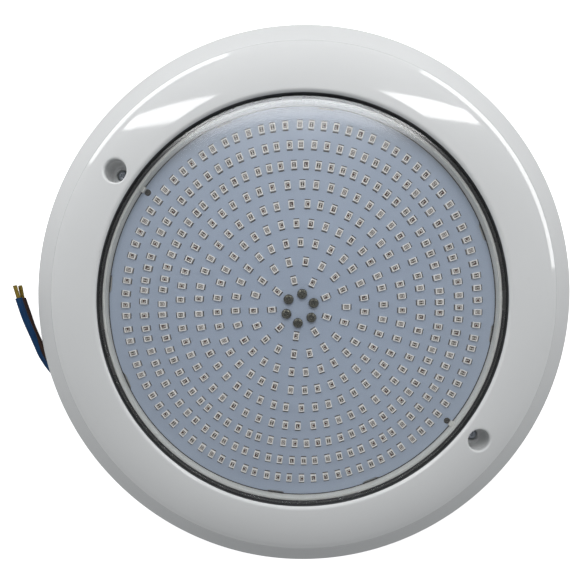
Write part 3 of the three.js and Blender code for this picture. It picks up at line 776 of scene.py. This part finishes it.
def build_board():
    """A disc with small notches in its edge, two edge holes and six holes round the middle."""
    seg = 720
    angs = np.arange(seg) * 360.0 / seg
    edge = np.full(seg, BOARD_R)
    for c in NOTCHES:
        d = np.abs((angs - c + 180) % 360 - 180)
        edge = np.where(d < 2.6, BOARD_R - 0.75 * np.clip((2.6 - d) / 0.5, 0, 1), edge)
    bm = bmesh.new()
    loops = []
    for z, inset in ((BOARD_BOTTOM, 0.0), (BOARD_TOP - 0.08, 0.0), (BOARD_TOP, 0.08)):
        loops.append([bm.verts.new(((edge[i] - inset) * math.cos(rad(angs[i])), (edge[i] - inset) * math.sin(rad(angs[i])), z)) for i in range(seg)])
    for a, b in zip(loops[:-1], loops[1:]):
        for i in range(seg):
            j = (i + 1) % seg
            bm.faces.new((a[i], a[j], b[j], b[i]))
    holes = [(polar(83.2, 142.8), 1.45), (polar(83.2, -37.3), 1.45)]
    holes += [(polar(6.45, 21.6 + 60 * i), 1.3) for i in range(6)]
    tops, bots = [], []
    for (x, y), r in holes:
        up = [bm.verts.new((x + r * math.cos(t), y + r * math.sin(t), BOARD_TOP)) for t in np.arange(32) * math.pi / 16]
        dn = [bm.verts.new((x + r * math.cos(t), y + r * math.sin(t), BOARD_BOTTOM)) for t in np.arange(32) * math.pi / 16]
        for i in range(32):
            j = (i + 1) % 32
            bm.faces.new((up[i], up[j], dn[j], dn[i]))
        tops.append(up)
        bots.append(dn)

    def cap(outer_loop, inner_loops, flip):
        edges = []
        for loop in [outer_loop, *inner_loops]:
            for i in range(len(loop)):
                e = bm.edges.get((loop[i], loop[(i + 1) % len(loop)]))
                edges.append(e)
        made = bmesh.ops.triangle_fill(bm, use_beauty=True, use_dissolve=False, edges=edges, normal=Vector((0, 0, -1 if flip else 1)))
        return made

    cap(loops[-1], tops, False)
    cap(loops[0], bots, True)
    bmesh.ops.recalc_face_normals(bm, faces=list(bm.faces))
    verts = [tuple(v.co) for v in bm.verts]
    bm.verts.index_update()
    faces = [tuple(v.index for v in f.verts) for f in bm.faces]
    mats = [0 if abs(f.normal.z) > 0.5 and f.calc_center_median().z > 20 else 1 for f in bm.faces]
    bm.free()
    return verts, faces, mats


bv, bf, bm_ = build_board()
board = make("board_disc", bv, bf, "wall_side", [M["board"], M["board_edge"]], bm_, angle=30)
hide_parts("led_board")

# a black rubber ring in the gap between the board's edge and the rim: painted shade for the shadow in that gap
shade_ring_v, shade_ring_f = lathe(fillet([(85.18, 19.25), (85.48, 19.25), (85.48, 20.4), (85.18, 20.4)], 0.06, 2), 360)
shade_ring = make("board_edge_shade_ring", shade_ring_v, shade_ring_f, "wall_side", [M["rubber"]], angle=50)

# ------------------------------------------------------------------ LED packages
COUNTS = [9, 18, 27, 36, 45, 54, 72, 81, 90]
RADII = [0.1492, 0.2455, 0.342, 0.440, 0.5374, 0.636, 0.733, 0.8315, 0.9292]
PHASES = [-17.08, 2.61, -4.13, 2.62, -1.38, 2.59, -2.42, 0.34, -1.41]
UNIT = 83.6


def led_template():
    """One package, its long side along +X (radial), centred at the origin on the board's surface."""
    L, W, Hh = 3.2 / 2, 2.56 / 2, 0.78
    verts, faces, mats = [], [], []

    def quad_loop(loops, mat, cap=None):
        base = len(verts)
        n = len(loops[0])
        for lp in loops:
            verts.extend(lp)
        for i in range(len(loops) - 1):
            for k in range(n):
                k2 = (k + 1) % n
                faces.append((base + i * n + k, base + i * n + k2, base + (i + 1) * n + k2, base + (i + 1) * n + k))
                mats.append(mat)
        if cap is not None:
            faces.append(tuple(base + (len(loops) - 1) * n + k for k in range(n)))
            mats.append(cap)

    def rect(l, w, z, c=0.0):
        if c <= 0:
            return [(l, -w, z), (l, w, z), (-l, w, z), (-l, -w, z)]
        return [(l, -w + c, z), (l, w - c, z), (l - c, w, z), (-l + c, w, z), (-l, w - c, z), (-l, -w + c, z), (-l + c, -w, z), (l - c, -w, z)]

    # case: outer wall, rim, sloping cup wall, floor
    quad_loop([
        rect(L, W, 0.02, 0.16), rect(L, W, Hh - 0.08, 0.16), rect(L - 0.08, W - 0.08, Hh, 0.16),
        rect(1.08, 0.86, Hh, 0.14), rect(1.02, 0.80, Hh - 0.22, 0.12),
    ], 0, 1)
    # lead frame in the cup: three metal lands of slightly different shapes
    z = Hh - 0.2

    def plate(x0, x1, y0, y1, mat, dz=0.0, h=0.02):
        base = len(verts)
        verts.extend([(x0, y0, z + dz), (x1, y0, z + dz), (x1, y1, z + dz), (x0, y1, z + dz)])
        verts.extend([(x0, y0, z + dz + h), (x1, y0, z + dz + h), (x1, y1, z + dz + h), (x0, y1, z + dz + h)])
        for f in ((4, 5, 6, 7), (0, 1, 5, 4), (1, 2, 6, 5), (2, 3, 7, 6), (3, 0, 4, 7)):
            faces.append(tuple(base + q for q in f))
            mats.append(mat)

    return verts, faces, mats, plate


def build_leds():
    base_v, base_f, base_m, plate = led_template()
    n_case_v, n_case_f = len(base_v), len(base_f)
    # four kinds of inside, as the rings mix them
    kinds = []
    for kind in range(4):
        del base_v[n_case_v:]
        del base_f[n_case_f:]
        del base_m[n_case_f:]
        if kind == 0:  # a C with a die inside
            plate(-0.78, -0.46, -0.56, 0.56, 2)
            plate(-0.46, 0.7, -0.56, -0.28, 2)
            plate(0.46, 0.7, -0.28, 0.5, 2)
            plate(-0.2, 0.12, 0.1, 0.42, 3, 0.02, 0.1)
        elif kind == 1:  # an I
            plate(-0.78, -0.5, -0.5, 0.5, 2)
            plate(0.5, 0.78, -0.5, 0.5, 2)
            plate(-0.5, 0.5, -0.13, 0.13, 2)
            plate(-0.16, 0.16, 0.2, 0.46, 4, 0.0, 0.08)
        elif kind == 2:  # three lands
            plate(-0.8, -0.42, -0.6, 0.6, 2)
            plate(-0.16, 0.2, -0.6, 0.6, 2)
            plate(0.46, 0.78, -0.6, 0.6, 2)
            plate(-0.1, 0.12, -0.14, 0.14, 5, 0.02, 0.08)
        else:  # an L, mostly dark
            plate(-0.78, -0.48, -0.52, 0.3, 2)
            plate(-0.48, 0.5, 0.04, 0.3, 2)
            plate(0.2, 0.56, -0.46, -0.16, 3, 0.0, 0.08)
        kinds.append((list(base_v), list(base_f), list(base_m)))
    rng = np.random.default_rng(5)
    verts, faces, mats = [], [], []
    sv, sf, sm = [], [], []
    for ring_i, (n, r, ph) in enumerate(zip(COUNTS, RADII, PHASES)):
        for k in range(n):
            a = rad(ph + 360.0 * k / n) + rad(float(rng.normal(0, 0.22)) * 1.0 / max(r, 0.3))
            tilt = rad(float(rng.normal(0, 1.1)))
            rr = r * UNIT + float(rng.normal(0, 0.05))
            c, s = math.cos(a + tilt), math.sin(a + tilt)
            ox, oy = rr * math.cos(a), rr * math.sin(a)
            flip = 1 if (k + ring_i) % 2 == 0 else -1
            v, f, m = kinds[int(rng.choice([0, 1, 2, 3], p=[0.3, 0.32, 0.26, 0.12]))]
            base = len(verts)
            for x, y, z in v:
                x, y = x * flip, y * flip
                verts.append((ox + x * c - y * s, oy + x * s + y * c, BOARD_TOP + z))
            faces += [tuple(base + q for q in g) for g in f]
            mats += m
            # at both radial ends: a bright fillet of tin, and past it a low strip of the pad whose dark colour is
            # painted shade
            for end in (-1, 1):
                for shade, y0, prof in ((1, 1.02, [(1.58, 0.02), (1.83, 0.02), (1.78, 0.12), (1.64, 0.34), (1.58, 0.40)]),
                                        (0, 1.22, [(1.84, 0.02), (2.16, 0.02), (2.13, 0.10), (2.05, 0.15), (1.87, 0.15)])):
                    b = len(sv)
                    for y in (-y0, y0):
                        for px, pz in prof:
                            x = px * end
                            sv.append((ox + x * c - y * s, oy + x * s + y * c, BOARD_TOP + pz))
                    n_ = len(prof)
                    for q in range(n_):
                        q2 = (q + 1) % n_
                        g = (b + q, b + q2, b + n_ + q2, b + n_ + q)
                        sf.append(g if end < 0 else g[::-1])
                        sm.append(shade)
                    g1 = tuple(b + q for q in range(n_))
                    g2 = tuple(b + n_ + q for q in range(n_ - 1, -1, -1))
                    sf += [g1[::-1], g2[::-1]] if end < 0 else [g1, g2]
                    sm += [shade, shade]
    return verts, faces, mats, sv, sf, sm


lv, lf, lm, sv, sf, sm = build_leds()
leds = make("led_packages", lv, lf, "wall_side", [M["led_white"], M["led_dark"], M["led_frame"], M["die_red"], M["die_green"], M["die_blue"]], lm, angle=30)
solder = make("led_solder", sv, sf, "wall_side", [M["solder"], M["tin"]], sm, angle=30)


# ------------------------------------------------------------------ the six screws round the middle
def cross_screw(name, x, y, z, head_r, head_h, shank_r, shank_bottom, turn, body, mat, slot_w, depth, node):
    """A pan-head screw with a cross recess whose walls slope in, and a threaded shank."""
    seg, verts, faces = 64, [], []
    prof = [(head_r, z), (head_r, z + head_h * 0.38), (head_r * 0.97, z + head_h * 0.55), (head_r * 0.88, z + head_h * 0.76), (head_r * 0.72, z + head_h * 0.92), (head_r * 0.56, z + head_h)]
    rings = []
    for r, zz in prof:
        rings.append([len(verts) + k for k in range(seg)])
        verts += [(x + r * math.cos(2 * math.pi * k / seg), y + r * math.sin(2 * math.pi * k / seg), zz) for k in range(seg)]
    for f in range(1, 13):
        r = head_r * 0.56 * (1 - f / 12.0)
        if f == 12:
            tip = len(verts)
            verts.append((x, y, z + head_h - depth))
            break
        rings.append([len(verts) + k for k in range(seg)])
        for k in range(seg):
            a = 2 * math.pi * k / seg
            u, w = r * math.cos(a - turn), r * math.sin(a - turn)
            inside = min(abs(u), abs(w))
            far = max(abs(u), abs(w))
            t = np.clip((slot_w - inside) / (slot_w * 0.35), 0, 1) * np.clip((head_r * 0.5 - far) / (head_r * 0.12), 0, 1)
            verts.append((x + r * math.cos(a), y + r * math.sin(a), z + head_h - depth * float(t) * (0.6 + 0.4 * (1 - far / head_r))))
    for a_, b_ in zip(rings[:-1], rings[1:]):
        for k in range(seg):
            k2 = (k + 1) % seg
            faces.append((a_[k], a_[k2], b_[k2], b_[k]))
    for k in range(seg):
        faces.append((rings[-1][k], rings[-1][(k + 1) % seg], tip))
    # underside and threaded shank
    low = [(shank_r, z), (shank_r, z - 0.4)]
    zz, big = z - 0.4, True
    while zz - 0.35 > shank_bottom + 0.8:
        zz -= 0.25
        low.append((shank_r * (0.84 if big else 1.0), zz))
        big = not big
    low += [(shank_r * 0.8, shank_bottom + 0.5), (shank_r * 0.35, shank_bottom)]
    prev = rings[0]
    for r, z2 in low:
        cur = [len(verts) + k for k in range(seg)]
        verts += [(x + r * math.cos(2 * math.pi * k / seg), y + r * math.sin(2 * math.pi * k / seg), z2) for k in range(seg)]
        for k in range(seg):
            k2 = (k + 1) % seg
            faces.append((prev[k2], prev[k], cur[k], cur[k2]))
        prev = cur
    faces.append(tuple(reversed(prev)))
    o = make(name, verts, faces, body, [mat], angle=34)
    if node:
        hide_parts(node)
    return o


for i in range(6):
    x, y = polar(6.45, 21.6 + 60 * i)
    o = cross_screw(f"hub_screw_{i + 1}", x, y, BOARD_TOP + 0.3, 2.2, 1.35, 0.95, 15.6, 0.5 + 1.1 * i, "wall_side", M["dark_screw"], 0.40, 1.0, f"board_screw_{i + 1}")
for key, at in (("a", polar(83.2, 142.8)), ("b", polar(83.2, -37.3))):
    o = cross_screw(f"edge_screw_{key}", at[0], at[1], 19.3, 1.35, 1.0, 0.8, 17.6, 0.4, "wall_side", M["edge_screw"], 0.24, 0.5, None)
for key, deg, turn in (("a", 143.3, 0.5), ("b", -36.2, 1.2)):
    x, y = polar(SCREW_R, deg)
    o = cross_screw(f"ring_screw_{key}_detail", x, y, 17.5, 2.1, 1.8, 1.35, 4.4, turn, f"screw_{key}", M["steel"], 0.32, 0.8, f"ring_screw_{key}")

# ------------------------------------------------------------------ lens and seal
drop = [(87.4 - 10.4 * k / 10, 27.3 - 0.4 * (1 - k / 10) ** 2) for k in range(11)]
lp = fillet([(0, 24.8), (87.4, 24.8), *drop, (0, 27.3)], [0, 0.2, 0.35, *([0.0] * 11)], 6, closed=False)
lens_v, lens_f = lathe(held(lp), 360, closed=False)
lens = make("lens_disc", lens_v, lens_f, "wall_side", [M["lens"]], angle=60)
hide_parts("lens")
sp_ = fillet([(85.55, 23.6), (86.7, 23.6), (86.7, 24.6), (85.55, 24.6)], 0.22, 4)
seal_v, seal_f = lathe(sp_, 360)
seal = make("seal_bead", seal_v, seal_f, "wall_side", [M["seal"]], angle=50)
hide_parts("lens_seal")


# ------------------------------------------------------------------ wall plate
def cutter(points, z0, z1):
    """A prism to cut with, from a polygon in millimetres."""
    n = len(points)
    v = [(x * MM, y * MM, z0 * MM) for x, y in points] + [(x * MM, y * MM, z1 * MM) for x, y in points]
    f = [tuple(range(n - 1, -1, -1)), tuple(range(n, 2 * n))]
    f += [(k, (k + 1) % n, n + (k + 1) % n, n + k) for k in range(n)]
    mesh = bpy.data.meshes.new("cutter")
    mesh.from_pydata(v, [], f)
    o = bpy.data.objects.new("cutter", mesh)
    scene.collection.objects.link(o)
    return o


def cut(o, tools):
    """o without the tools, which are removed."""
    for t in tools:
        mod = o.modifiers.new("cut", "BOOLEAN")
        mod.operation = "DIFFERENCE"
        mod.solver = "EXACT"
        mod.object = t
    bpy.context.view_layer.update()
    done = bpy.data.meshes.new_from_object(o.evaluated_get(bpy.context.evaluated_depsgraph_get()))
    o.modifiers.clear()
    o.data = done
    for t in tools:
        bpy.data.objects.remove(t)
    done.polygons.foreach_set("use_smooth", np.ones(len(done.polygons), bool))
    done.set_sharp_from_angle(angle=rad(30))
    return o


pp = fillet([(17, 0), (102.6, 0), (103.4, 0.8), (103.4, 3.0), (17, 3.0)], [0.5, 0.5, 0.5, 0.5, 0.5], 4)
parts = [lathe(held(pp, closed=True), 240)]
for deg in (53.5, 173.5, 293.5):
    x, y = polar(52, deg)
    v, f = lathe(fillet([(0, 1.0), (7, 1.0), (7, 4.2), (0, 4.2)], [0, 0, 0.4, 0], 4, closed=False), 48, closed=False)
    parts.append(([(a + x, b + y, c) for a, b, c in v], f))
pil = []
for deg in SCREW_ANGLES:
    x, y = polar(SCREW_R, deg)
    v, f = lathe(fillet([(3.5, 2.6), (6.2, 2.6), (6.2, 8.7), (3.5, 8.7)], [0, 0, 0.5, 0.3], 4), 48)
    parts.append(([(a + x, b + y, c) for a, b, c in v], f))
plate_v, plate_f = joined(parts)
plate = make("wall_plate", plate_v, plate_f, None, [M["plate"]], angle=30)
tools = []
for deg in (20, 110, 200, 290):
    c, s = math.cos(rad(deg)), math.sin(rad(deg))
    pts = []
    for k in range(17):
        a = rad(-90 + 180 * k / 16)
        pts.append((47 + 2.6 * math.cos(a), 2.6 * math.sin(a)))
    for k in range(17):
        a = rad(90 + 180 * k / 16)
        pts.append((33 + 2.6 * math.cos(a), 2.6 * math.sin(a)))
    tools.append(cutter([(x * c - y * s, x * s + y * c) for x, y in pts], -1, 3.6))
cut(plate, tools)
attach(plate, "wall_side")
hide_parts("mounting_plate")

# ------------------------------------------------------------------ materials of the carried-over nodes
KEEP = {
    "screw_insert_a": "brass", "screw_insert_b": "brass", "driver_board": "driver", "terminal_block": "terminal",
    "rectifier": "black_part", "capacitor_a": "cap", "capacitor_b": "cap", "inductor": "winding", "controller_chip": "black_part",
    "gland_body": "nylon", "gland_nut": "nylon", "gland_seal": "rubber", "strain_relief": "rubber",
    "inner_wire_blue": "blue", "inner_wire_brown": "brown",
}
for node, key in KEEP.items():
    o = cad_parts[node]
    o.data.materials.clear()
    o.data.materials.append(M[key])

# ------------------------------------------------------------------ floor, lights, world
def plain(name, colour, rough):
    m = procedural(name, colour, colour, 2.0, (rough, rough + 0.05), 0.0)
    return m


floor_mesh = bpy.data.meshes.new("floor")
floor_mesh.from_pydata([(-60, -60, -0.0002), (60, -60, -0.0002), (60, 60, -0.0002), (-60, 60, -0.0002)], [], [(0, 1, 2, 3)])
floor = bpy.data.objects.new("floor", floor_mesh)
scene.collection.objects.link(floor)
paper = plain("floor_paper", srgb(250, 250, 250), 0.9)
paper_shader = next(n for n in paper.node_tree.nodes if n.type == "BSDF_PRINCIPLED")
paper_shader.inputs["Specular IOR Level"].default_value = 0.0
paper_shader.inputs["Emission Color"].default_value = (1, 1, 1, 1)
paper_shader.inputs["Emission Strength"].default_value = 0.75
floor_mesh.materials.append(paper)
floor.visible_diffuse = False
floor.visible_glossy = False

world = bpy.data.worlds.new("studio") if not scene.world else scene.world
scene.world = world
world.use_nodes = True
bg = next(n for n in world.node_tree.nodes if n.type == "BACKGROUND")
bg.inputs["Color"].default_value = (0.96, 0.98, 1.0, 1)
bg.inputs["Strength"].default_value = 0.42


def panel(name, at, aim, sx, sy, radiance, colour=(1, 1, 1), turn=None, glossy=True, diffuse=True):
    """A rectangular softbox; turn lays it flat, facing down, turned by that many degrees."""
    light = bpy.data.lights.new(name, "AREA")
    light.shape = "RECTANGLE"
    light.size, light.size_y = sx, sy
    light.energy = radiance * math.pi * sx * sy
    light.color = colour
    o = bpy.data.objects.new(name, light)
    scene.collection.objects.link(o)
    if turn is None:
        d = Vector(aim) - Vector(at)
        o.rotation_euler = d.to_track_quat("-Z", "Y").to_euler()
    else:
        o.rotation_euler = (0.0, 0.0, rad(turn))
    o.location = at
    o.visible_glossy = glossy
    o.visible_diffuse = diffuse
    return o


# the key comes over the top edge; the slanting softboxes draw the light patches on the ring
panel("key", (0.0, 0.40, 0.41), (0, -0.02, 0), 0.5, 0.3, 4.4, (0.99, 0.995, 1.0), glossy=False)
panel("softbox_right", (0.87, 1.065, 1.2), None, 1.43, 0.17, 10.0, turn=39.6, diffuse=False)
panel("softbox_left", (-0.87, 1.065, 1.2), None, 1.43, 0.17, 9.5, turn=-39.6, diffuse=False)
glare = panel("softbox_top", (-0.01, 0.72, 1.2), None, 0.62, 0.46, 7.5, (0.93, 0.96, 1.0), turn=0, diffuse=False)
only = bpy.data.collections.new("lens_only")
only.objects.link(lens)
glare.light_linking.receiver_collection = only
for side, deg, bright in (("right", 22, 3.2), ("top", 90, 1.6), ("left", 160, 3.4)):
    x, y = polar(1.2, deg)
    panel("fill_" + side, (x, y, 0.27), (0, 0, 0.02), 1.3, 0.34, bright, glossy=False)
for side, lo, hi in (("right", 8, 62), ("left", 106, 146)):
    mid = (lo + hi) / 2
    x, y = polar(1.5, mid)
    wide = 2 * 1.5 * math.tan(rad((hi - lo) / 2))
    panel("edge_" + side, (x, y, 0.34), (0, 0, 0.1), wide, 0.2, 6.0, diffuse=False)

scene.view_settings.view_transform = "Standard"
scene.view_settings.look = "None"
scene.view_settings.exposure = 0.0
